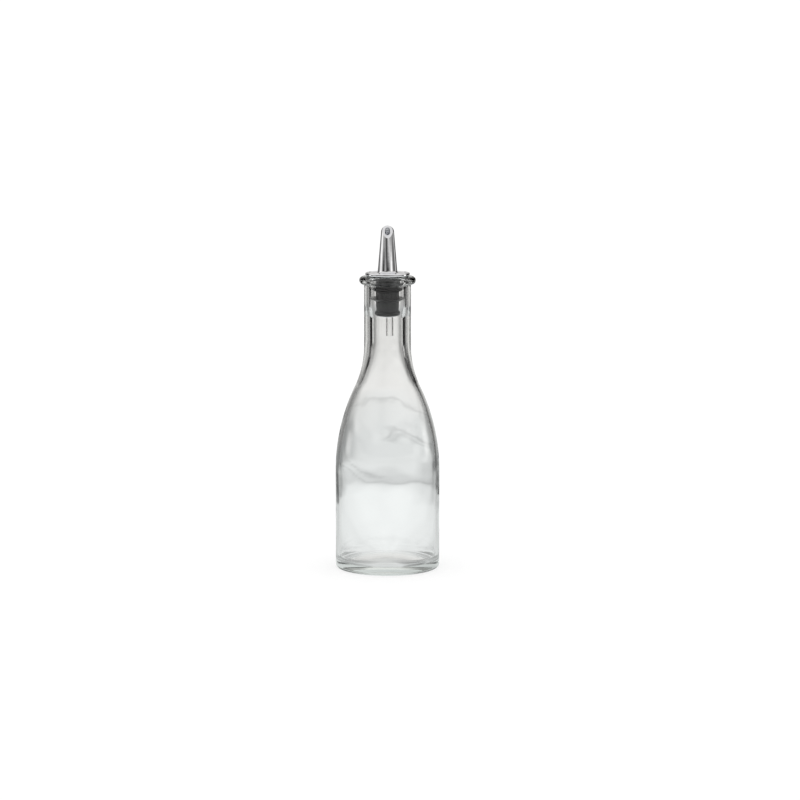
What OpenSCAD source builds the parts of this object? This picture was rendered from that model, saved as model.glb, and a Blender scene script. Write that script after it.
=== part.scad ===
// Table bottle for oil or vinegar: a clear glass bottle with a lift-out pourer.
// +Z is up, the origin is the centre of the base and the spout's outlet faces -Y.

/* [Glass body] */
// Outside diameter of the straight body
body_d = 60.6; // [56:0.2:66]
// Height at which the straight body starts to curve in
body_z = 57; // [50:0.5:64]
// Radius of the convex shoulder curve, outside
shoulder_r = 114; // [100:1:125]
// Radius of the convex shoulder curve, inside
shoulder_bore_r = 112; // [100:1:120]
// Glass thickness of the body
wall = 2; // [1.6:0.1:2.8]
// Radius of the rounded heel
heel_r = 2; // [1:0.1:3]

/* [Glass base] */
// Glass thickness at the middle of the base
base_t = 4.5; // [3:0.1:6]
// Height of the hollow under the base
punt_h = 3; // [1.5:0.1:5]
// Inner radius of the ring that the bottle stands on
stand_r = 23; // [20:0.5:25]
// Fall of the inner floor from its middle to its edge
floor_fall = 2.8; // [1:0.1:3.5]
// Radius of the inner corner between floor and wall
floor_corner_r = 4; // [2:0.1:6]

/* [Neck and lip] */
// Outside diameter of the neck
neck_d = 27.2; // [26.2:0.1:28.4]
// Height at which the shoulder meets the straight neck
neck_z = 130.6; // [126:0.2:136]
// Height at which the neck bore starts to widen into the shoulder
neck_bore_z = 135; // [130:0.5:140]
// Diameter of the neck bore
neck_bore_d = 17.8; // [16.8:0.1:18.8]
// Height of the top of the lip
lip_z = 170.8; // [168:0.2:174]
// Diameter over the lip bead
lip_d = 32.8; // [31.5:0.1:34]
// Thickness of the lip bead
bead_t = 4.8; // [4:0.1:5.6]
// Diameter of the wider bore in the mouth, which the stopper fits
mouth_d = 19.6; // [19.2:0.1:20.2]
// Depth of the mouth bore below the lip
mouth_depth = 17.3; // [16:0.1:18]
// Length of the taper from the mouth bore to the neck bore
mouth_taper = 6; // [3:0.1:6.5]

/* [Stopper] */
// Height of the stopper, from the lip down
stopper_h = 23.1; // [21:0.1:25]
// Diameter of the stopper between its fins
core_d = 13.5; // [12.5:0.1:14.5]
// Diameter of the stopper just above its foot
core_low_d = 13; // [11.6:0.1:13.4]
// Thickness of the head inside the lip
head_t = 2.6; // [2:0.1:3.2]
// Distance from the top of the head to the first fin's edge
fin_drop = 7.2; // [6.4:0.1:8]
// Distance from one fin to the next
fin_pitch = 5.7; // [5:0.1:6.2]
// Number of fins below the head
fin_count = 2; // [1:1:2]
// Thickness of a fin at its edge
fin_edge_t = 0.7; // [0.4:0.05:1]
// Thickness of a fin at its root
fin_root_t = 1.5; // [1.1:0.05:2]
// Rise of a fin from its root to its edge
fin_rise = 1.1; // [0.4:0.1:1.6]
// Diameter of the foot
foot_d = 15; // [14:0.1:17]
// Thickness of the foot
foot_t = 2.5; // [1.6:0.1:3.2]

/* [Collar] */
// Diameter of the collar
collar_d = 25.9; // [24.5:0.1:28]
// Thickness of the collar
collar_t = 2.1; // [1.5:0.1:2.6]

/* [Spout] */
// Height of the spout above the collar
spout_h = 27.05; // [24:0.05:30]
// Diameter of the spout at its foot
spout_d = 11.4; // [10.6:0.1:12.4]
// Diameter of the round end of the spout
spout_end_d = 7.6; // [7.2:0.1:8.2]
// Radius of the fillet between spout and collar
spout_fillet_r = 0.9; // [0.3:0.1:1.4]
// Outside diameter of the sleeve that runs down through the stopper
sleeve_d = 8.8; // [8.6:0.1:9.2]
// Bore of the spout and of its sleeve
spout_bore_d = 7.4; // [7:0.1:7.6]
// Width of the outlet
outlet_w = 2.9; // [2.2:0.1:3.4]
// Length of the outlet along the slanted face
outlet_len = 4.6; // [3.6:0.1:4.8]
// Lean of the slanted face from upright
outlet_lean = 24; // [15:1:35]
// Distance of the slanted face's lower edge below the top of the spout
outlet_drop = 6.4; // [5.8:0.1:6.8]

/* [Vent tube] */
// Outside diameter of the vent tube
vent_d = 4.4; // [3.8:0.1:4.6]
// Bore of the vent tube
vent_bore_d = 3.2; // [2.4:0.1:3.4]
// Length of the vent tube below the stopper
vent_drop = 11.5; // [8:0.1:16]
// Length of the vent tube above the lip, inside the spout
vent_rise = 12.5; // [6:0.1:13]
// Direction in which the vent tube lies against the bore, from +X
vent_angle = 37; // [0:1:90]

/* [Hidden] */

$fn = 96;
eps = 0.01;
run_gap = 0.05;      // radial running clearance, and the gap under a face that turns
press = 0.05;        // how far the vent tube bites into the bore that holds it
mouth_round = 1.4;   // radius of the mouth's inner edge
roll_t = 0.6;        // thickness of the sleeve's rolled lower end
roll_r = 0.6;        // how far the rolled end stands out from the sleeve
bore_end_drop = 10;  // distance below the top of the spout where its bore starts to narrow
throat_drop = 3.6;   // distance below the top of the spout where the bore is narrowest
throat_r = 1.9;      // radius of the bore there
throat_rise = 1.6;   // height of the bore's pointed end above that
arc_steps = 20;

body_r = body_d / 2;
chamber_r = body_r - wall;
neck_r = neck_d / 2;
neck_bore_r = neck_bore_d / 2;
mouth_r = mouth_d / 2;
lip_r = lip_d / 2;
bead_r = bead_t / 2;
core_r = core_d / 2;
core_low_r = core_low_d / 2;
foot_r = foot_d / 2;
fin_r = mouth_r - run_gap;
sleeve_r = sleeve_d / 2;
spout_bore_r = spout_bore_d / 2;
spout_r = spout_d / 2;
spout_end_r = spout_end_d / 2;
collar_r = collar_d / 2;
vent_r = vent_d / 2;

stopper_low_z = lip_z - stopper_h;
collar_z = lip_z + run_gap;
spout_z = collar_z + collar_t;
spout_top_z = spout_z + spout_h;
sleeve_low_z = stopper_low_z - run_gap - roll_t;
vent_offset = spout_bore_r - vent_r + press;

// Points of an arc about c with radius r, from angle a0 to angle a1
function arc(c, r, a0, a1, steps = arc_steps) =
    [for (i = [0:steps]) let (a = a0 + (a1 - a0) * i / steps) c + r * [cos(a), sin(a)]];

function reversed(points) = [for (i = [len(points) - 1:-1:0]) points[i]];

// Angle that the shoulder leans in from upright, where its two arcs meet
function shoulder_angle(r0, r1, z0, z1) = 2 * atan((r0 - r1) / (z1 - z0));

// Shoulder from (r0, z0) to (r1, z1): a convex arc of radius big, then the concave arc that meets it
function shoulder(r0, r1, z0, z1, big) =
    let (turn = shoulder_angle(r0, r1, z0, z1))
    let (small = (z1 - z0) / sin(turn) - big)
    concat(
        arc([r0 - big, z0], big, 0, turn),
        arc([r1 + small, z1], small, 180 + turn, 180)
    );

// Radius of the circle that falls by drop over the half width half
function cap_radius(half, drop) = (half * half + drop * drop) / (2 * drop);

// Outside of the glass, from the middle of the base up to the mouth's edge
function glass_outside() =
    let (punt_r = cap_radius(stand_r, punt_h))
    let (bead_c = [lip_r - bead_r, lip_z - bead_r])
    let (bead_a = -acos((neck_r - bead_c[0]) / bead_r))
    concat(
        arc([0, punt_h - punt_r], punt_r, 90, 90 - asin(stand_r / punt_r)),
        arc([body_r - heel_r, heel_r], heel_r, -90, 0),
        shoulder(body_r, neck_r, body_z, neck_z, shoulder_r),
        arc(bead_c, bead_r, bead_a, 90),
        arc([mouth_r + mouth_round, lip_z - mouth_round], mouth_round, 90, 180)
    );

// Inside of the glass, from the middle of the floor up to the mouth bore
function glass_inside() =
    let (floor_z = punt_h + base_t)
    let (floor_r = cap_radius(stand_r, floor_fall))
    let (corner_x = chamber_r - floor_corner_r)
    let (corner_reach = floor_r + floor_corner_r)
    let (tilt = asin(corner_x / corner_reach))
    let (corner_z = floor_z - floor_r + corner_reach * cos(tilt))
    concat(
        arc([0, floor_z - floor_r], floor_r, 90, 90 - tilt),
        arc([corner_x, corner_z], floor_corner_r, 270 - tilt, 360),
        shoulder(chamber_r, neck_bore_r, body_z, neck_bore_z, shoulder_bore_r),
        [[neck_bore_r, lip_z - mouth_depth - mouth_taper]],
        [[mouth_r, lip_z - mouth_depth]]
    );

// Clear glass: body, shoulder, neck and lip in one piece
module glass_bottle() {
    color([0.86, 0.89, 0.88, 0.45])
        rotate_extrude()
            polygon(concat(glass_outside(), reversed(glass_inside())));
}

// Half section of one fin, whose edge is centred at height z
module fin_section(z) {
    polygon([
        [core_r - 1, z - fin_rise - fin_root_t / 2],
        [core_r, z - fin_rise - fin_root_t / 2],
        [fin_r, z - fin_edge_t / 2],
        [fin_r, z + fin_edge_t / 2],
        [core_r, z - fin_rise + fin_root_t / 2],
        [core_r - 1, z - fin_rise + fin_root_t / 2]
    ]);
}

// Half section of the foot, with a round edge
module foot_section() {
    round_c = [foot_r - foot_t / 2, stopper_low_z + foot_t / 2];
    polygon(concat(
        [[0, stopper_low_z]],
        arc(round_c, foot_t / 2, -90, 90),
        [[0, stopper_low_z + foot_t]]
    ));
}

// Half section of the plain core and of the head, which has a chamfer at its lower edge
module core_section() {
    chamfer = 0.8;
    low_fin_z = lip_z - fin_drop - fin_rise - fin_pitch * (fin_count - 1);
    polygon([
        [0, stopper_low_z + foot_t / 2],
        [core_low_r, stopper_low_z + foot_t / 2],
        [core_r, low_fin_z],
        [core_r, lip_z - head_t],
        [fin_r - chamfer, lip_z - head_t],
        [fin_r, lip_z - head_t + chamfer],
        [fin_r, lip_z],
        [0, lip_z]
    ]);
}

// Black stopper with thin fins that grip the mouth bore
module stopper() {
    color([0.07, 0.07, 0.08])
        difference() {
            rotate_extrude() {
                core_section();
                foot_section();
                for (i = [0:fin_count - 1])
                    fin_section(lip_z - fin_drop - i * fin_pitch);
            }
            translate([0, 0, stopper_low_z - 1])
                cylinder(r = sleeve_r + run_gap, h = stopper_h + 2);
        }
}

// Bright metal disc with a round rim, which rests on the glass lip
module collar() {
    rim_c = [collar_r - collar_t / 2, collar_z + collar_t / 2];
    color([0.75, 0.76, 0.78])
        rotate_extrude()
            polygon(concat(
                [[sleeve_r, collar_z]],
                arc(rim_c, collar_t / 2, -90, 90),
                [[sleeve_r, collar_z + collar_t]]
            ));
}

// Outside of the spout, from the sleeve's rolled end to the round tip
function spout_outside() =
    let (foot_z = spout_z + spout_fillet_r)
    let (end_z = spout_top_z - spout_end_r)
    let (rise = end_z - foot_z)
    let (reach = norm([spout_r, rise]))
    let (slope = acos(spout_end_r / reach) - atan2(rise, spout_r))
    concat(
        [[sleeve_r + roll_r, sleeve_low_z]],
        [[sleeve_r + roll_r, sleeve_low_z + roll_t]],
        [[sleeve_r, sleeve_low_z + roll_t]],
        [[sleeve_r, spout_z]],
        arc([spout_r + spout_fillet_r, foot_z], spout_fillet_r, 270, 180),
        arc([0, end_z], spout_end_r, slope, 90)
    );

// Inside of the spout, from the sleeve's lower end to the narrow throat
function spout_inside() = [
    [spout_bore_r, sleeve_low_z],
    [spout_bore_r, spout_top_z - bore_end_drop],
    [throat_r, spout_top_z - throat_drop],
    [0, spout_top_z - throat_drop + throat_rise]
];

// Places its children on the slanted face: +Z leaves the face, +Y runs up it
module on_slanted_face() {
    drop_z = spout_top_z - outlet_drop;
    translate([0, -spout_end_r, drop_z])
        rotate([90 - outlet_lean, 0, 0])
            children();
}

// Round-ended slot of width w and length len, from depth below the face out through it
module slot_cutter(w, len, depth) {
    run = len - w;
    translate([0, 0, -depth]) {
        for (y = [0, run])
            translate([0, y, 0])
                cylinder(d = w, h = depth + 1);
        translate([-w / 2, 0, 0])
            cube([w, run, depth + 1]);
    }
}

// Bright metal spout: a taper with a slanted outlet near its round end, on a long sleeve
module spout() {
    face_len = outlet_drop / cos(outlet_lean);
    color([0.8, 0.81, 0.83])
        difference() {
            rotate_extrude()
                polygon(concat(spout_outside(), reversed(spout_inside())));
            on_slanted_face()
                translate([-spout_r, -1, 0])
                    cube([spout_d, face_len + 3, spout_d]);
            on_slanted_face()
                translate([0, (face_len - outlet_len + outlet_w) / 2, 0])
                    slot_cutter(outlet_w, outlet_len, spout_end_r / 2);
        }
}

// Clear plastic tube that lets air back into the bottle
module vent_tube() {
    low_z = stopper_low_z - vent_drop;
    length = stopper_h + vent_drop + vent_rise;
    color([0.85, 0.86, 0.86, 0.6])
        rotate([0, 0, vent_angle])
            translate([vent_offset, 0, low_z])
                difference() {
                    cylinder(d = vent_d, h = length);
                    translate([0, 0, -eps])
                        cylinder(d = vent_bore_d, h = length + 2 * eps);
                }
}

glass_bottle();
stopper();
collar();
spout();
vent_tube();
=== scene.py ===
import math
import bmesh
import bpy
from mathutils import Matrix, Vector, noise


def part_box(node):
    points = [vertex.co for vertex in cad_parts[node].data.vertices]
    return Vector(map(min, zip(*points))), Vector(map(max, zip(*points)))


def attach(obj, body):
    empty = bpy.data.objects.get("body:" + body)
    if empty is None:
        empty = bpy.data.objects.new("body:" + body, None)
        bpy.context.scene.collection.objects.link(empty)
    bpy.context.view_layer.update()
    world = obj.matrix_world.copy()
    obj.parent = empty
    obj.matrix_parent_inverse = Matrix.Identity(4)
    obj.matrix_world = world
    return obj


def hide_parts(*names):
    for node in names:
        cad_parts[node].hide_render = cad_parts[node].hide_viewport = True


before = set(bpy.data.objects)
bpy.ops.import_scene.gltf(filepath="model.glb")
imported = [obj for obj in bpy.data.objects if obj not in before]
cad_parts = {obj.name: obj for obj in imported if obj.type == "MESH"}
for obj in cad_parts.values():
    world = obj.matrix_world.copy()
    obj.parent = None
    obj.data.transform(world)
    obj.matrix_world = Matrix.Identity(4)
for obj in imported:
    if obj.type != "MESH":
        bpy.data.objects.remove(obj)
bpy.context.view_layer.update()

MM = 0.001
TINY = 1e-6


# ---------------------------------------------------------------- sizes

BOTTLE_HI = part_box("glass_bottle")[1]
STOPPER_LO, STOPPER_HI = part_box("stopper")
COLLAR_LO, COLLAR_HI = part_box("collar")
SPOUT_LO, SPOUT_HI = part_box("spout")
VENT_LO, VENT_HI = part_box("vent_tube")

# glass body
body_r = BOTTLE_HI.x
lip_z = BOTTLE_HI.z
wall = 2 * MM
body_z = 57 * MM
shoulder_r = 114 * MM
shoulder_bore_r = 112 * MM
heel_r = 2 * MM
base_t = 4.5 * MM
punt_h = 3 * MM
stand_r = 23 * MM
floor_fall = 2.8 * MM
floor_corner_r = 4 * MM
glass_step = 0.8 * MM

# unevenness of the blown glass, in the visual model only
wave_size = 26 * MM
wave_slow = 0.1 * MM
wave_quick = 0.05 * MM
wave_fade = [(14 * MM, 0), (34 * MM, 1), (118 * MM, 1), (144 * MM, 0)]
bead_pull = 0.14 * MM
bead_grain = 2.4 * MM

# neck and lip
neck_r = 13.6 * MM
neck_z = 130.6 * MM
neck_bore_z = 135 * MM
neck_bore_r = 8.9 * MM
lip_r = 16.4 * MM
bead_r = 2.4 * MM
mouth_r = STOPPER_HI.x + 0.05 * MM
mouth_depth = 17.3 * MM
mouth_taper = 6 * MM
mouth_round = 1.4 * MM

# stopper
fin_r = STOPPER_HI.x
core_r = 6.75 * MM
core_low_r = 6.5 * MM
stopper_bore_r = 4.45 * MM
head_t = 2.6 * MM
fin_drop = 7.2 * MM
fin_pitch = 5.7 * MM
fin_count = 2
fin_edge_t = 0.7 * MM
fin_root_t = 1.5 * MM
fin_rise = 1.1 * MM
foot_r = 7.5 * MM
foot_t = 2.5 * MM
head_round = 0.5 * MM
rubber_step = 0.8 * MM

# collar
collar_r = COLLAR_HI.x
collar_t = COLLAR_HI.z - COLLAR_LO.z
collar_dish = 0.5 * MM
rim_roll_r = 0.75 * MM
channel_r = 0.9 * MM
channel_inset = 2.9 * MM
boss_round = 0.3 * MM
boss_margin = 1.5 * MM
dent_depth = 0.07 * MM
dent_size = 4.5 * MM
collar_step = 0.4 * MM

# spout
spout_z = COLLAR_HI.z
spout_r = 5.7 * MM
spout_end_r = 3.8 * MM
spout_fillet_r = SPOUT_HI.x - spout_r
sleeve_r = 4.4 * MM
spout_bore_r = 3.7 * MM
roll_t = 0.6 * MM
roll_r = 0.6 * MM
bore_end_drop = 10 * MM
throat_drop = 3.6 * MM
throat_r = 1.9 * MM
throat_rise = 1.6 * MM
outlet_w = 2.9 * MM
outlet_len = 4.6 * MM
outlet_lean = math.radians(24)
outlet_drop = 6.4 * MM
slab_w = 20 * MM
slab_t = 10 * MM
slab_reach = 9 * MM
spout_voxel = 0.12 * MM
spout_step = 0.5 * MM

# vent tube
vent_c = (VENT_LO + VENT_HI) / 2
vent_r = (VENT_HI.x - VENT_LO.x) / 2
vent_bore_r = 1.6 * MM
tube_step = 1 * MM


# ---------------------------------------------------------------- outlines

def arc(c, r, a0, a1, steps=24):
    """Points (radius, height) of an arc about c, from angle a0 to a1 in degrees."""
    angles = [math.radians(a0 + (a1 - a0) * i / steps) for i in range(steps + 1)]
    return [(c[0] + r * math.cos(a), c[1] + r * math.sin(a)) for a in angles]


def fine(points, step):
    """The same outline with no stretch longer than step."""
    out = [points[0]]
    for a, b in zip(points, points[1:]):
        n = max(1, math.ceil(math.dist(a, b) / step))
        out += [(a[0] + (b[0] - a[0]) * i / n, a[1] + (b[1] - a[1]) * i / n) for i in range(1, n + 1)]
    return [p for i, p in enumerate(out) if i == 0 or math.dist(p, out[i - 1]) > TINY / 10]


def between(pairs, x):
    """Value at x on the straight lines between (x, value) pairs."""
    if x <= pairs[0][0]:
        return pairs[0][1]
    for (x0, v0), (x1, v1) in zip(pairs, pairs[1:]):
        if x <= x1:
            return v0 + (v1 - v0) * (x - x0) / (x1 - x0)
    return pairs[-1][1]


def shoulder(r0, r1, z0, z1, big):
    """The shoulder from (r0, z0) up to (r1, z1): a convex arc of radius big, then a concave one."""
    turn = 2 * math.atan((r0 - r1) / (z1 - z0))
    small = (z1 - z0) / math.sin(turn) - big
    turn = math.degrees(turn)
    return arc((r0 - big, z0), big, 0, turn, 60) + arc((r1 + small, z1), small, 180 + turn, 180, 40)


def cap_radius(half, drop):
    """Radius of the circle that falls by drop over the half width half."""
    return (half * half + drop * drop) / (2 * drop)


def glass_outside():
    """Outside of the glass, from the middle of the base up to the mouth bore."""
    punt_r = cap_radius(stand_r, punt_h)
    bead_c = (lip_r - bead_r, lip_z - bead_r)
    bead_a = -math.degrees(math.acos((neck_r - bead_c[0]) / bead_r))
    edge_c = (mouth_r + mouth_round, lip_z - mouth_round)
    return (
        arc((0, punt_h - punt_r), punt_r, 90, 90 - math.degrees(math.asin(stand_r / punt_r)))
        + arc((body_r - heel_r, heel_r), heel_r, -90, 0)
        + shoulder(body_r, neck_r, body_z, neck_z, shoulder_r)
        + arc(bead_c, bead_r, bead_a, 90, 48)
        + arc(edge_c, mouth_round, 90, 180)
    )


def glass_inside():
    """Inside of the glass, from the middle of the floor up to the mouth bore."""
    floor_z = punt_h + base_t
    floor_r = cap_radius(stand_r, floor_fall)
    corner_x = body_r - wall - floor_corner_r
    reach = floor_r + floor_corner_r
    tilt = math.asin(corner_x / reach)
    corner_z = floor_z - floor_r + reach * math.cos(tilt)
    tilt = math.degrees(tilt)
    return (
        arc((0, floor_z - floor_r), floor_r, 90, 90 - tilt)
        + arc((corner_x, corner_z), floor_corner_r, 270 - tilt, 360)
        + shoulder(body_r - wall, neck_bore_r, body_z, neck_bore_z, shoulder_bore_r)
        + [(neck_bore_r, lip_z - mouth_depth - mouth_taper), (mouth_r, lip_z - mouth_depth)]
    )


# ---------------------------------------------------------------- meshes

ROUND_STEPS = 256


def ring_size(r, steps=ROUND_STEPS):
    """How many vertices an outline point at radius r becomes."""
    return 1 if r < TINY else steps


def lathe(name, outline, steps=ROUND_STEPS, closed=False):
    """A solid of revolution about Z. An outline point on the axis becomes one vertex."""
    bm = bmesh.new()
    rings = []
    for r, z in outline:
        turn = 2 * math.pi / steps
        rings.append([
            bm.verts.new((r * math.cos(i * turn), r * math.sin(i * turn), z))
            for i in range(ring_size(r, steps))
        ])
    pairs = list(zip(rings, rings[1:]))
    if closed:
        pairs.append((rings[-1], rings[0]))
    for a, b in pairs:
        for i in range(steps):
            j = (i + 1) % steps
            corners = [a[i % len(a)], a[j % len(a)], b[j % len(b)], b[i % len(b)]]
            corners = list(dict.fromkeys(corners))
            if len(corners) > 2:
                bm.faces.new(corners)
    bmesh.ops.recalc_face_normals(bm, faces=bm.faces)
    return to_object(name, bm)


def to_object(name, bm):
    """A smooth-shaded object from a bmesh, linked to the scene."""
    mesh = bpy.data.meshes.new(name)
    bm.to_mesh(mesh)
    bm.free()
    mesh.shade_smooth()
    obj = bpy.data.objects.new(name, mesh)
    bpy.context.scene.collection.objects.link(obj)
    return obj


def soften(obj, degrees=40):
    """Keeps corners sharper than degrees crisp."""
    obj.data.set_sharp_from_angle(angle=math.radians(degrees))


def shift_radially(verts, offset):
    """Moves each vertex away from the axis by offset(its place)."""
    for v in verts:
        r = math.hypot(v.co.x, v.co.y)
        if r > TINY:
            grow = 1 + offset(v.co) / r
            v.co.x *= grow
            v.co.y *= grow


def apply_modifiers(obj):
    """Replaces the mesh with the result of its modifiers."""
    graph = bpy.context.evaluated_depsgraph_get()
    mesh = bpy.data.meshes.new_from_object(obj.evaluated_get(graph))
    obj.modifiers.clear()
    obj.data = mesh


# ---------------------------------------------------------------- materials

def new_material(name):
    """A node material with only its Principled shader and output: (material, nodes, links, shader)."""
    mat = bpy.data.materials.new(name)
    mat.use_nodes = True
    nodes, links = mat.node_tree.nodes, mat.node_tree.links
    return mat, nodes, links, nodes["Principled BSDF"]


def grain(nodes, links, size, stretch=(1, 1, 1), detail=4):
    """Noise from 0 to 1 with grains of the given size, in metres, squeezed along the axes by stretch."""
    coords = nodes.new("ShaderNodeTexCoord")
    mapping = nodes.new("ShaderNodeMapping")
    mapping.inputs["Scale"].default_value = stretch
    tex = nodes.new("ShaderNodeTexNoise")
    tex.inputs["Scale"].default_value = 1 / size
    tex.inputs["Detail"].default_value = detail
    even = nodes.new("ShaderNodeMapRange")
    even.inputs["From Min"].default_value = 0.3
    even.inputs["From Max"].default_value = 0.7
    links.new(coords.outputs["Object"], mapping.inputs["Vector"])
    links.new(mapping.outputs["Vector"], tex.inputs["Vector"])
    links.new(tex.outputs["Fac"], even.inputs["Value"])
    return even.outputs["Result"]


def vary_number(nodes, links, value, socket, low, high):
    """Drives a shader socket from low to high as value goes from 0 to 1."""
    remap = nodes.new("ShaderNodeMapRange")
    remap.inputs["To Min"].default_value = low
    remap.inputs["To Max"].default_value = high
    links.new(value, remap.inputs["Value"])
    links.new(remap.outputs["Result"], socket)


def vary_colour(nodes, links, value, socket, low, high):
    """Drives a colour socket from low to high as value goes from 0 to 1."""
    ramp = nodes.new("ShaderNodeValToRGB")
    ramp.color_ramp.elements[0].color = (*low, 1)
    ramp.color_ramp.elements[1].color = (*high, 1)
    links.new(value, ramp.inputs["Fac"])
    links.new(ramp.outputs["Color"], socket)


def relief(nodes, links, shader, layers):
    """Bump on a shader from (value, height in metres) layers, one over the other."""
    normal = None
    for value, height in layers:
        bump = nodes.new("ShaderNodeBump")
        bump.inputs["Distance"].default_value = height
        links.new(value, bump.inputs["Height"])
        if normal:
            links.new(normal, bump.inputs["Normal"])
        normal = bump.outputs["Normal"]
    links.new(normal, shader.inputs["Normal"])


def glass_material():
    """Clear glass with faint ripples from the mould and a breath of dust."""
    mat, nodes, links, shader = new_material("clear_glass")
    shader.inputs["Base Color"].default_value = (1, 1, 1, 1)
    shader.inputs["IOR"].default_value = 1.52
    shader.inputs["Transmission Weight"].default_value = 1.0
    dust = grain(nodes, links, 9 * MM)
    vary_number(nodes, links, dust, shader.inputs["Roughness"], 0.0, 0.008)
    ripple = grain(nodes, links, 7 * MM, (1, 1, 0.5), detail=1)
    relief(nodes, links, shader, [(ripple, 0.004 * MM)])
    absorb = nodes.new("ShaderNodeVolumeAbsorption")
    absorb.inputs["Color"].default_value = (0.62, 0.76, 0.68, 1)
    absorb.inputs["Density"].default_value = 5
    links.new(absorb.outputs["Volume"], nodes["Material Output"].inputs["Volume"])
    return mat


def metal_material():
    """Bright steel, polished round its axis, with fine rub marks and a slight haze."""
    mat, nodes, links, shader = new_material("bright_metal")
    shader.inputs["Metallic"].default_value = 1.0
    mottle = grain(nodes, links, 3 * MM)
    rub = grain(nodes, links, 1.5 * MM, (1, 1, 9), detail=6)
    dull, bright = (0.8, 0.8, 0.82), (0.9, 0.9, 0.92)
    vary_colour(nodes, links, mottle, shader.inputs["Base Color"], dull, bright)
    vary_number(nodes, links, rub, shader.inputs["Roughness"], 0.015, 0.05)
    relief(nodes, links, shader, [(rub, 0.0004 * MM), (mottle, 0.004 * MM)])
    return mat


def rubber_material():
    """Moulded black rubber with a fine grain and grey bloom in patches."""
    mat, nodes, links, shader = new_material("black_rubber")
    shader.inputs["Specular IOR Level"].default_value = 0.5
    bloom = grain(nodes, links, 4 * MM)
    pores = grain(nodes, links, 0.35 * MM, detail=2)
    black, grey = (0.004, 0.004, 0.0045), (0.011, 0.011, 0.012)
    vary_colour(nodes, links, bloom, shader.inputs["Base Color"], black, grey)
    vary_number(nodes, links, bloom, shader.inputs["Roughness"], 0.36, 0.52)
    relief(nodes, links, shader, [(pores, 0.012 * MM)])
    return mat


def tube_material():
    """Clear plastic with faint draw lines along the tube."""
    mat, nodes, links, shader = new_material("clear_plastic")
    shader.inputs["Base Color"].default_value = (1, 1, 1, 1)
    shader.inputs["IOR"].default_value = 1.49
    shader.inputs["Transmission Weight"].default_value = 1.0
    lines = grain(nodes, links, 0.8 * MM, (1, 1, 0.08), detail=2)
    vary_number(nodes, links, lines, shader.inputs["Roughness"], 0.02, 0.07)
    relief(nodes, links, shader, [(lines, 0.006 * MM)])
    return mat


# ---------------------------------------------------------------- pieces

def wall_waves(place):
    """How far the inside of the glass stands off its true surface, as blown glass does."""
    point = Vector((place.x, place.y, place.z * 1.5)) / wave_size
    slow = noise.noise(point + Vector((3.1, 0.4, 7.7)))
    quick = noise.noise(point * 2.3 + Vector((9.2, 5.5, 1.3)))
    return between(wave_fade, place.z) * (wave_slow * slow + wave_quick * quick)


def bead_dents(place):
    """How far the lip bead stands off its true surface, nearly always inward."""
    if place.z < lip_z - 2 * bead_r - 1 * MM or math.hypot(place.x, place.y) < neck_r:
        return 0
    return -bead_pull * (0.5 + noise.noise(place / bead_grain))


def make_bottle():
    """One closed solid of glass: its outside up to the mouth, then its inside down to the floor."""
    outside = fine(glass_outside(), glass_step)
    inside = fine(glass_inside()[::-1], glass_step)
    obj = lathe("bottle_glass", outside + inside)
    verts = list(obj.data.vertices)
    outside_count = sum(ring_size(r) for r, z in outside)
    shift_radially(verts[:outside_count], bead_dents)
    shift_radially(verts[outside_count:], wall_waves)
    obj.data.materials.append(glass_material())
    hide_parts("glass_bottle")
    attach(obj, "bottle")


def fin_outline(z):
    """One fin, from its lower root to its upper root, with a round edge."""
    edge = fin_edge_t / 2
    root_z = z - fin_rise
    return (
        [(core_r, root_z - fin_root_t / 2)]
        + arc((fin_r - edge, z), edge, -80, 80, 8)
        + [(core_r, root_z + fin_root_t / 2)]
    )


def make_stopper():
    """Foot, core with its fins, and head, round the bore that holds the sleeve."""
    low_z, high_z = STOPPER_LO.z, STOPPER_HI.z
    foot_c = (foot_r - foot_t / 2, low_z + foot_t / 2)
    outline = [(stopper_bore_r, low_z)] + arc(foot_c, foot_t / 2, -90, 80, 16)
    outline += [(core_low_r, low_z + foot_t)]
    for i in reversed(range(fin_count)):
        outline += fin_outline(high_z - fin_drop - i * fin_pitch)
    head_edge = fin_r - head_round
    outline += [(core_r, high_z - head_t)]
    outline += arc((head_edge, high_z - head_t + head_round), head_round, -90, 0, 8)
    outline += arc((head_edge, high_z - head_round), head_round, 0, 90, 8)
    outline += [(stopper_bore_r, high_z)]
    obj = lathe("stopper_rubber", fine(outline, rubber_step), closed=True)
    soften(obj)
    obj.data.materials.append(rubber_material())
    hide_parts("stopper")
    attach(obj, "stopper")


def make_collar(metal):
    """The disc has a rolled rim, a shallow channel and a low boss that the spout stands on."""
    low, top = COLLAR_LO.z, COLLAR_HI.z
    rim = collar_t / 2
    outline = (
        [(sleeve_r, low)]
        + arc((collar_r - rim, low + rim), rim, -90, 0, 16)
        + arc((collar_r - rim_roll_r, top - rim_roll_r), rim_roll_r, 0, 150, 20)
        + arc((collar_r - channel_inset, top - collar_dish + channel_r), channel_r, -60, -90, 6)
        + arc((spout_r + boss_margin, top - boss_round), boss_round, 60, 90, 6)
        + [(sleeve_r, top)]
    )
    obj = lathe("collar_disc", fine(outline, collar_step), closed=True)
    dent_room = [(spout_r + 1 * MM, 0), (spout_r + 2.5 * MM, 1)]
    for v in obj.data.vertices:
        dent = noise.noise(Vector((v.co.x, v.co.y, v.co.z * 2)) / dent_size)
        room = between(dent_room, math.hypot(v.co.x, v.co.y))
        v.co.z -= dent_depth * room * (0.5 + dent)
    obj.data.materials.append(metal)
    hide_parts("collar")
    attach(obj, "pourer")


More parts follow.
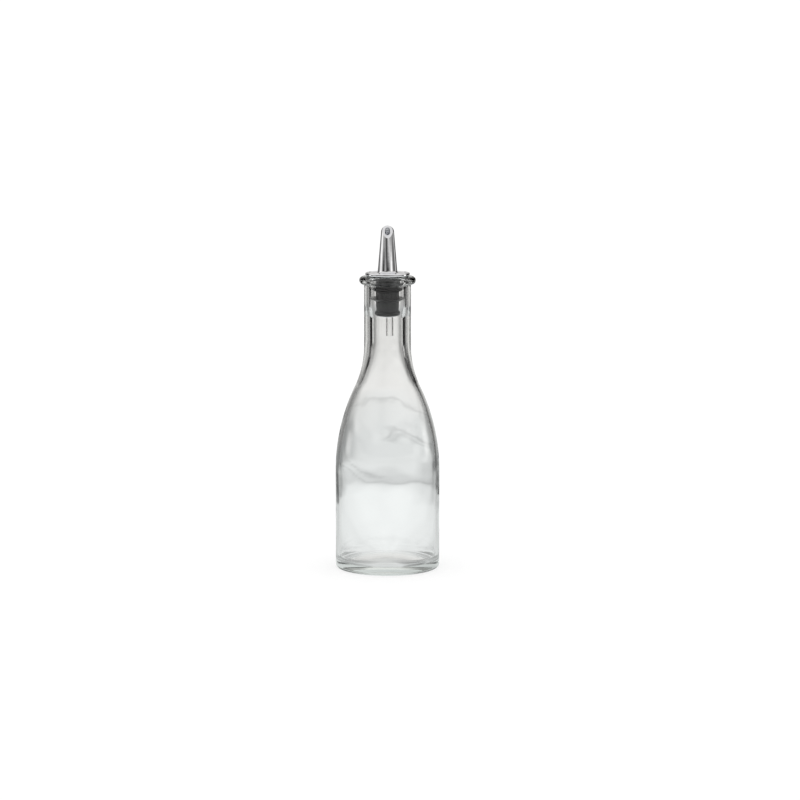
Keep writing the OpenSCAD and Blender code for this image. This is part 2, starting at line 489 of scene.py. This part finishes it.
def spout_outline():
    """The whole closed outline: sleeve, fillet, taper and round end outside, then the bore."""
    foot_z = spout_z + spout_fillet_r
    end_z = SPOUT_HI.z - spout_end_r
    rise = end_z - foot_z
    reach = math.hypot(spout_r, rise)
    slope = math.degrees(math.acos(spout_end_r / reach) - math.atan2(rise, spout_r))
    low = SPOUT_LO.z
    outside = (
        [(sleeve_r + roll_r, low), (sleeve_r + roll_r, low + roll_t)]
        + [(sleeve_r, low + roll_t), (sleeve_r, spout_z)]
        + arc((spout_r + spout_fillet_r, foot_z), spout_fillet_r, 270, 180, 12)
        + arc((0, end_z), spout_end_r, slope, 90, 32)
    )
    inside = [
        (spout_bore_r, low),
        (spout_bore_r, SPOUT_HI.z - bore_end_drop),
        (throat_r, SPOUT_HI.z - throat_drop),
        (0, SPOUT_HI.z - throat_drop + throat_rise),
    ]
    return outside + inside[::-1]


def cutter_box(name, size, place):
    """A box of the given size with its middle at place."""
    bm = bmesh.new()
    bmesh.ops.create_cube(bm, size=1)
    bmesh.ops.scale(bm, vec=size, verts=bm.verts)
    bmesh.ops.transform(bm, matrix=place, verts=bm.verts)
    return to_object(name, bm)


def cutter_slot(name, w, length, depth, place):
    """A round-ended prism, w wide and length long, through the slanted face."""
    bm = bmesh.new()
    half = (length - w) / 2
    side = arc((0, half), w / 2, 0, 180)
    loop = side + [(-x, -y) for x, y in side]
    low = [bm.verts.new((x, y, -depth)) for x, y in loop]
    high = [bm.verts.new((x, y, depth)) for x, y in loop]
    bm.faces.new(low)
    bm.faces.new(high)
    for i in range(len(loop)):
        j = (i + 1) % len(loop)
        bm.faces.new((low[i], low[j], high[j], high[i]))
    bmesh.ops.recalc_face_normals(bm, faces=bm.faces)
    bmesh.ops.transform(bm, matrix=place, verts=bm.verts)
    return to_object(name, bm)


def make_spout(metal):
    """The slanted face is cut off the round end, and the outlet is cut through it."""
    obj = lathe("spout_metal", fine(spout_outline(), spout_step), steps=128, closed=True)
    face_len = outlet_drop / math.cos(outlet_lean)
    face = Matrix.Translation((0, -spout_end_r, SPOUT_HI.z - outlet_drop))
    face @= Matrix.Rotation(math.pi / 2 - outlet_lean, 4, "X")
    slab = cutter_box("slab", (slab_w, slab_w, slab_t),
                      face @ Matrix.Translation((0, slab_reach, slab_t / 2)))
    slot = cutter_slot("slot", outlet_w, outlet_len, spout_end_r / 2,
                       face @ Matrix.Translation((0, face_len / 2, 0)))
    for cutter in (slab, slot):
        mod = obj.modifiers.new("cut", "BOOLEAN")
        mod.object = cutter
        mod.solver = "EXACT"
    remesh = obj.modifiers.new("remesh", "REMESH")
    remesh.mode = "VOXEL"
    remesh.voxel_size = spout_voxel
    smooth = obj.modifiers.new("smooth", "SMOOTH")
    smooth.iterations = 8
    apply_modifiers(obj)
    for cutter in (slab, slot):
        bpy.data.objects.remove(cutter)
    obj.data.materials.clear()
    obj.data.materials.append(metal)
    obj.data.shade_smooth()
    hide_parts("spout")
    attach(obj, "pourer")


def make_vent_tube():
    """A plain tube beside the axis."""
    low, high = VENT_LO.z, VENT_HI.z
    outline = [(vent_bore_r, low), (vent_r, low), (vent_r, high), (vent_bore_r, high)]
    obj = lathe("vent_tube_plastic", fine(outline, tube_step), steps=96, closed=True)
    obj.data.transform(Matrix.Translation((vent_c.x, vent_c.y, 0)))
    soften(obj)
    obj.data.materials.append(tube_material())
    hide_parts("vent_tube")
    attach(obj, "pourer")


# ---------------------------------------------------------------- surround

def emitter(name, colour, strength):
    """A material that only glows."""
    mat = bpy.data.materials.new(name)
    mat.use_nodes = True
    nodes, links = mat.node_tree.nodes, mat.node_tree.links
    nodes.remove(nodes["Principled BSDF"])
    glow = nodes.new("ShaderNodeEmission")
    glow.inputs["Color"].default_value = (*colour, 1)
    glow.inputs["Strength"].default_value = strength
    links.new(glow.outputs[0], nodes["Material Output"].inputs["Surface"])
    return mat


# The surround is a floor, a wall and a canopy that glow, seen only in and through glass and metal.
# Its brightness was worked out from the tones of the photo's glass and metal, then changed.
# Directions are in degrees clockwise from straight behind the bottle, and distances in metres.
SURROUND_R = 0.45
SURROUND_H = 0.6
SURROUND_LIFT = 0.0001
CANOPY_LEVEL = 0.8

# Brightness of the wall by direction. The bands lie over each other, from low to high.
# The neck shows the first band. The spout shows the next three, from its foot to its tip.
NECK_BAND = [
    (-180, 0.03), (-88, 0.03), (-84, 1.6), (-72, 1.6), (-69, 0.0), (-55, 0.0), (-48, 0.05),
    (-42, 0.24), (-34, 0.27), (-25, 0.27), (-20, 0.38), (-14, 0.64), (-8, 0.8), (0, 0.83), (8, 0.83),
    (12, 0.8), (16, 0.55), (20, 0.4), (26, 0.42), (33, 0.26), (40, 0.1), (46, 0.0), (69, 0.0),
    (72, 1.6), (84, 1.6), (88, 0.03), (180, 0.03),
]
FOOT_BAND = [
    (-180, 0.0), (-167, 0.15), (-157, 0.5), (-150, 0.5), (-138, 0.0), (-124, 0.12), (-112, 0.45),
    (-97, 1.2), (-80, 1.0), (-66, 0.5), (-58, 0.05), (-46, 0.05), (-38, 0.35), (-26, 0.45), (-14, 0.6),
    (14, 0.6), (17, 0.35), (27, 0.12), (40, 0.03), (56, 0.05), (62, 0.7), (72, 0.6), (80, 0.15),
    (98, 0.15), (112, 0.25), (128, 1.3), (142, 0.8), (155, 0.25), (167, 0.05), (180, 0.0),
]
MIDDLE_BAND = [
    (-180, 0.17), (-165, 0.0), (-150, 0.4), (-136, 0.22), (-121, 0.12), (-104, 0.55), (-90, 1.3),
    (-72, 0.7), (-68, 0.0), (-46, 0.0), (-40, 0.2), (-26, 0.45), (-14, 0.55), (12, 0.5), (17, 0.1),
    (25, 0.0), (68, 0.0), (74, 0.6), (85, 0.4), (106, 0.12), (121, 0.3), (138, 0.62), (152, 1.0),
    (165, 0.36), (180, 0.17),
]
TIP_BAND = [
    (-180, 0.35), (-164, 0.0), (-147, 0.22), (-132, 0.65), (-112, 0.8), (-94, 1.15), (-72, 0.6),
    (-68, 0.0), (-46, 0.0), (-36, 0.2), (-20, 0.5), (-5, 0.55), (10, 0.5), (15, 0.1), (30, 0.0),
    (68, 0.0), (72, 0.8), (94, 0.65), (114, 0.7), (132, 0.4), (149, 0.32), (164, 0.85), (180, 0.35),
]
HIGH_BAND = [
    (-180, 0.5), (-164, 0.15), (-140, 0.6), (-112, 0.9), (-72, 1.0), (-68, 0.0), (-38, 0.1),
    (-28, 0.45), (-18, 0.7), (18, 0.65), (28, 0.3), (40, 0.0), (68, 0.0), (71, 0.9), (94, 0.7),
    (132, 0.95), (155, 0.8), (180, 0.5),
]
# Brightness of the floor by direction, whose falling off at both sides shades the body's edges.
FLOOR_BAND = [
    (-180, 0.82), (-90, 0.85), (-60, 0.7), (-35, 0.6), (-20, 0.72), (-16, 0.79), (-12, 0.86),
    (-8, 0.89), (-3, 0.92), (0, 0.92), (5, 0.92), (9, 0.88), (13, 0.85), (20, 0.77), (35, 0.62),
    (60, 0.7), (90, 0.85), (180, 0.82),
]
# The same for the floor right under the bottle, in its shadow, and its level on the axis.
UNDER_LEVEL = 0.6
UNDER_BAND = [
    (-180, 0.66), (-161, 0.68), (-150, 0.56), (-131, 0.4), (-118, 0.34), (-105, 0.4), (-54, 0.4),
    (-41, 0.5), (-26, 0.66), (0, 0.68), (15, 0.62), (26, 0.48), (45, 0.31), (90, 0.31), (109, 0.42),
    (119, 0.52), (125, 0.33), (131, 0.25), (150, 0.38), (161, 0.7), (180, 0.66),
]
# The same for the floor beside the bottle, which is never darker than this close by.
NEAR_LEVEL = 0.83
NEAR_SIDES = [(22, NEAR_LEVEL), (30, 0.68), (42, 0.56)]
# A bright patch on the floor at each side, which the glass beside the stopper shows.
PATCH_LEVEL = 0.9
PATCH_SIDES = [(24, 0), (30, 1), (66, 1), (72, 0)]
PATCH_NEAR = [(38, 0.338), (46, 0.305)]
PATCH_FAR_LEFT, PATCH_FAR_RIGHT = 0.435, 0.4
# Share of the light that the floor behind the bottle keeps by radius, and the low wall by direction.
FLOOR_FALL = [
    (0.248, 1), (0.262, 0.95), (0.275, 0.86), (0.287, 0.74), (0.3, 0.72), (0.325, 0.75), (0.35, 0.84),
    (0.45, 0.88),
]
LOW_SHADE = [
    (-20, 0.9), (-14, 0.72), (-12, 0.6), (-10, 0.57), (-8.5, 0.66), (-7.5, 0.8), (-5, 0.88),
    (-2, 0.98), (3, 0.98), (8, 1), (10, 0.84), (14, 0.9), (18, 1),
]
# Share that the far floor keeps towards its sides, which darkens the edges of the body, and the
# radius from which it does so at the left and at the right.
EDGE_SHADE = [
    (-48, 1), (-40, 0.32), (-20, 0.32), (-17, 0.85), (-12, 1), (5, 1), (8, 0.8), (14, 0.76),
    (18, 0.32), (40, 0.32), (48, 1),
]
EDGE_REACH_LEFT = [(0.24, 0), (0.26, 1)]
EDGE_REACH_RIGHT = [(0.19, 0), (0.22, 0.45), (0.32, 1)]
# Share of the floor's brightness in the foot of the wall by height, behind the bottle and elsewhere.
BACK_FOOT = [(0.03, 1), (0.065, 0)]
FRONT_FOOT = [(0.045, 1), (0.07, 0)]
# A glow on the wall in front, which keeps the neck clear in views from behind.
GLOW_LEVEL = 0.5
GLOW_SIDES = [(100, 0), (104, 1)]
GLOW_TOP = [(116, 0.13), (122, 0.09)]
# Share that the wall's bright strip at the left keeps above the neck band.
CALM = [(-92, 1), (-88, 0.1), (-70, 0.1), (-66, 1)]

# Painted shade: grey streaks darken the glowing backdrop, and the glass shows them as grey lines. Each has
# a width, depth and a line of (direction, distance along the backdrop, which is the floor's radius and then
# the wall's height).
STREAKS = [
    (0.0018, 0.2, [
        (-16, 0.51), (-9, 0.498), (-5, 0.489), (-3, 0.487), (0, 0.4865), (3, 0.486), (6, 0.489), (9, 0.494),
        (20, 0.504),
    ]),
    (0.0016, 0.26, [
        (-1.2, 0.4617), (0, 0.4637), (1, 0.4643), (3, 0.463), (5, 0.4618), (9, 0.4625), (20, 0.465),
    ]),
    (0.0016, 0.2, [
        (-1.2, 0.4617), (0, 0.4605), (1, 0.46), (3, 0.4592), (5, 0.4575), (9, 0.4575), (20, 0.459),
    ]),
    (0.007, 0.18, [
        (-18, 0.452), (-12, 0.43), (-9, 0.4), (-6, 0.345), (-4.5, 0.325), (-2, 0.315), (0, 0.305),
    ]),
    (0.006, 0.18, [
        (-20, 0.39), (-12, 0.36), (-9, 0.335), (-6, 0.3), (-4, 0.29), (9, 0.292), (24, 0.29),
    ]),
    (0.016, 0.1, [(-22, 0.445), (-12, 0.4), (-6, 0.36), (-2, 0.31), (8, 0.3), (20, 0.28)]),
]
# Painted shade: how far the streaks wander, how they fade at their ends, and their faint mottle.
STREAK_WAVE = 0.0012
STREAK_FADE = 1.5
STREAK_MOTTLE = 0.03


def streak_shade(a, s):
    """Painted shade: soft grey streaks that darken the backdrop's light, s metres along it from the middle
    of the floor.
    """
    wave = STREAK_WAVE * noise.noise(Vector((a * 0.45, s * 12, 2.0)))
    dark = 0
    for i, (width, depth, line) in enumerate(STREAKS):
        if line[0][0] < a < line[-1][0]:
            fade = min(1, (a - line[0][0]) / STREAK_FADE, (line[-1][0] - a) / STREAK_FADE)
            ragged = 1 + 0.7 * noise.noise(Vector((a * 0.8, s * 40, 5.0 + i)))
            off = (s - between(line, a) - wave * (1 + 60 * width)) / (width * ragged)
            dark += fade * depth * math.exp(-off * off)
    mottle = STREAK_MOTTLE * noise.noise(Vector((a * 0.25, s * 14, 9.0)))
    return 1 - dark + mottle


def mix(a, b, share):
    """The value that lies the given share of the way from a to b."""
    return a + (b - a) * share


def floor_level(a, r, neck):
    """Brightness of the floor at direction a and radius r. Behind the bottle it ends near the neck band."""
    side = abs(a)
    level = between(FLOOR_BAND, a)
    nearby = between([(0.036, NEAR_LEVEL), (0.05, between(NEAR_SIDES, side))], r)
    level = mix(level, max(level, nearby), between([(0.15, 1), (0.21, 0)], r))
    near = between(PATCH_NEAR, side)
    far = PATCH_FAR_LEFT if a < 0 else PATCH_FAR_RIGHT
    patch = between([(near, 0), (near + 0.012, 1), (far - 0.01, 1), (far, 0)], r)
    level = mix(level, PATCH_LEVEL, between(PATCH_SIDES, side) * patch)
    under = mix(between(UNDER_BAND, a), UNDER_LEVEL, between([(0.004, 1), (0.014, 0)], r))
    level = mix(level, under, between([(0.0285, 1), (0.0305, 0)], r))
    if side < 60:
        reach = between(EDGE_REACH_LEFT if a < 0 else EDGE_REACH_RIGHT, r)
        level *= between(FLOOR_FALL, r) * mix(1, between(EDGE_SHADE, a), reach)
        level = mix(level, neck * between(LOW_SHADE, a), between([(0.39, 0), (0.45, 1)], r))
    return level


def wall_level(a, z, low, neck):
    """Brightness of the wall at direction a and height z, where low is that of the floor's edge."""
    side = abs(a)
    level = mix(neck, low, between(BACK_FOOT if side < 70 else FRONT_FOOT, z))
    top = between(GLOW_TOP, side)
    glow = between([(0.045, 0), (0.07, 1), (top, 1), (top + 0.01, 0)], z)
    level += GLOW_LEVEL * between(GLOW_SIDES, side) * glow
    calm = between(CALM, a)
    foot, middle, tip, high = (between(band, a) for band in (FOOT_BAND, MIDDLE_BAND, TIP_BAND, HIGH_BAND))
    heights = [
        (0.12, level), (0.14, level * calm), (0.175, foot * calm), (0.188, foot), (0.21, foot),
        (0.218, middle), (0.231, tip), (0.25, tip), (0.3, high), (0.42, high), (0.5, 0.9),
    ]
    return between(heights, z)


def surround_level(a, r, z):
    """Brightness of the surround at direction a, on the floor at radius r or on the wall at height z."""
    neck = between(NECK_BAND, a)
    level = floor_level(a, r, neck)
    if z > SURROUND_LIFT:
        level = wall_level(a, z, level, neck)
    # Painted shade: grey streaks in the surround's light, low down behind the bottle.
    if abs(a) < 20 and z < 0.12:
        level *= streak_shade(a, r + z)
    return level


def hide_from_camera(obj):
    """Leaves a stage piece to be seen only in, and through, glass and metal."""
    obj.visible_camera = False
    obj.visible_diffuse = False
    obj.visible_shadow = False


def surround_light():
    """Glows by the mesh's own levels, tinted slightly cool low down and slightly warm higher up."""
    mat = emitter("surround_light", (1, 1, 1), 1)
    nodes, links = mat.node_tree.nodes, mat.node_tree.links
    coords = nodes.new("ShaderNodeTexCoord")
    split = nodes.new("ShaderNodeSeparateXYZ")
    rise = nodes.new("ShaderNodeMapRange")
    rise.inputs["From Min"].default_value = 0.01
    rise.inputs["From Max"].default_value = 0.07
    links.new(coords.outputs["Object"], split.inputs["Vector"])
    links.new(split.outputs["Z"], rise.inputs["Value"])
    cool, warm = (0.975, 1, 0.995), (1, 0.992, 0.972)
    vary_colour(nodes, links, rise.outputs["Result"], nodes["Emission"].inputs["Color"], cool, warm)
    level = nodes.new("ShaderNodeAttribute")
    level.attribute_name = "level"
    links.new(level.outputs["Fac"], nodes["Emission"].inputs["Strength"])
    return mat


def steps_from(start, step, first, last):
    """Places step apart, from the first to the last step beyond start."""
    return [start + step * i for i in range(first, last + 1)]


def make_surround():
    """Floor and wall as one mesh with a vertex at every degree, finer where the glass magnifies it."""
    radii = steps_from(0, 0.002, 1, 19) + steps_from(0.03, 0.01, 1, 16) + steps_from(0.19, 0.0052, 1, 50)
    heights = steps_from(0, 0.0012, 1, 50) + steps_from(0.06, 0.003, 1, 39) + steps_from(0.18, 0.014, 0, 30)
    profile = [(r, SURROUND_LIFT) for r in radii]
    profile += [(SURROUND_R, z + SURROUND_LIFT) for z in heights]
    turns = range(-180, 180)
    bm = bmesh.new()
    rings = []
    for r, z in profile:
        angles = [math.radians(a) for a in turns]
        rings.append([bm.verts.new((r * math.sin(t), r * math.cos(t), z)) for t in angles])
    bm.faces.new(rings[0])
    for low, high in zip(rings, rings[1:]):
        for i in range(len(turns)):
            j = (i + 1) % len(turns)
            bm.faces.new((low[i], low[j], high[j], high[i]))
    obj = to_object("surround", bm)
    layer = obj.data.attributes.new("level", "FLOAT", "POINT")
    layer.data.foreach_set("value", [surround_level(a, r, z) for r, z in profile for a in turns])
    obj.data.materials.append(surround_light())
    hide_from_camera(obj)


def make_canopy():
    """A disc of light over the wall."""
    bm = bmesh.new()
    bmesh.ops.create_circle(bm, cap_ends=True, segments=64, radius=SURROUND_R)
    obj = to_object("canopy", bm)
    obj.data.transform(Matrix.Translation((0, 0, SURROUND_H)))
    obj.data.materials.append(emitter("canopy_light", (1, 1, 1), CANOPY_LEVEL))
    hide_from_camera(obj)


# ---------------------------------------------------------------- stage and camera

FLOOR_SIZE = 4
FLOOR_GLOW = 0.72
SKY_LEVEL = 1.1

SENSOR_W = 36
LENS = 119.5
SHIFT_X = 0.0156
AIM_Z = 98.4 * MM
PITCH = math.radians(7.9)
DISTANCE = 1.5452

GLASS_BOUNCES = 40
METAL_BOUNCES = 8


def make_stage():
    """A pale floor in even white light. Glass and metal see the surround in its place."""
    bm = bmesh.new()
    bmesh.ops.create_grid(bm, x_segments=1, y_segments=1, size=FLOOR_SIZE)
    floor = to_object("floor", bm)
    mat, nodes, links, shader = new_material("pale_floor")
    shader.inputs["Base Color"].default_value = (0.3, 0.3, 0.3, 1)
    shader.inputs["Roughness"].default_value = 0.9
    shader.inputs["Specular IOR Level"].default_value = 0.0
    shader.inputs["Emission Color"].default_value = (1, 1, 1, 1)
    shader.inputs["Emission Strength"].default_value = FLOOR_GLOW
    floor.data.materials.append(mat)
    floor.visible_glossy = False
    floor.visible_transmission = False
    world = bpy.data.worlds.new("studio")
    bpy.context.scene.world = world
    world.use_nodes = True
    sky = world.node_tree.nodes["Background"]
    sky.inputs["Color"].default_value = (1, 1, 1, 1)
    sky.inputs["Strength"].default_value = SKY_LEVEL
    make_surround()
    make_canopy()


def make_camera():
    """Looks down a little at the bottle from in front, as the photo does."""
    cam_data = bpy.data.cameras.new("camera")
    cam = bpy.data.objects.new("camera", cam_data)
    bpy.context.scene.collection.objects.link(cam)
    bpy.context.scene.camera = cam
    cam_data.sensor_width = SENSOR_W
    cam_data.lens = LENS
    cam_data.shift_x = SHIFT_X
    aim = Vector((0, 0, AIM_Z))
    cam.location = aim + DISTANCE * Vector((0, -math.cos(PITCH), math.sin(PITCH)))
    cam.rotation_euler = (math.pi / 2 - PITCH, 0, 0)


def set_look():
    """Plain colours, and enough bounces for light that goes round in the glass."""
    scene = bpy.context.scene
    scene.view_settings.view_transform = "Standard"
    scene.cycles.max_bounces = GLASS_BOUNCES
    scene.cycles.transmission_bounces = GLASS_BOUNCES
    scene.cycles.glossy_bounces = METAL_BOUNCES


make_camera()
make_stage()
set_look()
make_bottle()
make_stopper()
chrome = metal_material()
make_collar(chrome)
make_spout(chrome)
make_vent_tube()
